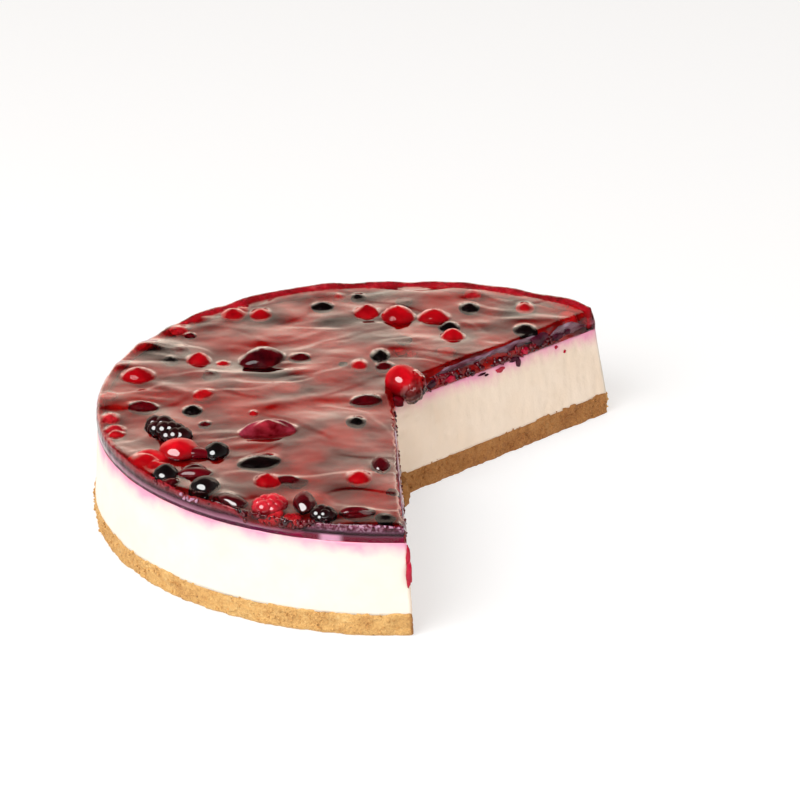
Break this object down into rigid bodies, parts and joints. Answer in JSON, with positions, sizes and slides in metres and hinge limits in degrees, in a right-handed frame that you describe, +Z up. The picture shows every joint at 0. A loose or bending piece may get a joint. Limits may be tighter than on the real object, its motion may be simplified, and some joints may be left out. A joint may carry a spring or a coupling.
{
  "type": "berry cheesecake with a wedge cut out",
  "caption": "Round no-bake cheesecake on a crumb base with a berry jelly top, a wide wedge cut out, resting flat.",
  "frame": {"origin": "centre of the bounding box, on the underside of the crumb base", "axes": "+Z up, +X towards the open side of the cut wedge, +Y along the long side of the plan, away from the front cut"},
  "size_m": [0.2262, 0.2608, 0.0566],
  "materials": {
    "biscuit_crumb": "pressed golden biscuit crumb, grainy and dry",
    "set_cream": "set cream cheese, smooth and faintly moist, pink under the jelly",
    "dark_jelly": "clear dark wine-red jelly, wet gloss",
    "red_fruit": "bright red cherry and currant skin under jelly",
    "wine_fruit": "dark wine-red cherry skin under jelly",
    "black_fruit": "near-black currant and bramble skin under jelly",
    "soft_fruit": "raspberry and strawberry flesh under jelly"
  },
  "bodies": {
    "root": {"crumb_base": "biscuit_crumb", "cream_filling": "set_cream", "berry_jelly": "dark_jelly", "cherry_01": "red_fruit", "cherry_02": "red_fruit", "cherry_03": "red_fruit", "cherry_04": "red_fruit", "cherry_05": "red_fruit", "cherry_06": "red_fruit", "cherry_07": "red_fruit", "cherry_08": "red_fruit", "cherry_09": "red_fruit", "cherry_10": "red_fruit", "cherry_11": "red_fruit", "cherry_12": "red_fruit", "cherry_13": "red_fruit", "redcurrant_01": "red_fruit", "redcurrant_02": "red_fruit", "redcurrant_03": "red_fruit", "dark_cherry_01": "wine_fruit", "dark_cherry_02": "wine_fruit", "dark_cherry_03": "wine_fruit", "dark_cherry_04": "wine_fruit", "dark_cherry_05": "wine_fruit", "dark_cherry_06": "wine_fruit", "dark_cherry_07": "wine_fruit", "dark_cherry_08": "wine_fruit", "dark_cherry_09": "wine_fruit", "dark_cherry_10": "wine_fruit", "blackcurrant_01": "black_fruit", "blackcurrant_02": "black_fruit", "blackcurrant_03": "black_fruit", "blackcurrant_04": "black_fruit", "blackcurrant_05": "black_fruit", "blackcurrant_06": "black_fruit", "blackcurrant_07": "black_fruit", "blackcurrant_08": "black_fruit", "blackcurrant_09": "black_fruit", "blackcurrant_10": "black_fruit", "blackcurrant_11": "black_fruit", "bramble_01": "black_fruit", "bramble_02": "black_fruit", "raspberry_01": "soft_fruit", "raspberry_02": "soft_fruit", "raspberry_03": "soft_fruit", "raspberry_04": "soft_fruit", "raspberry_05": "soft_fruit", "strawberry_01": "soft_fruit"}
  },
  "joints": []
}
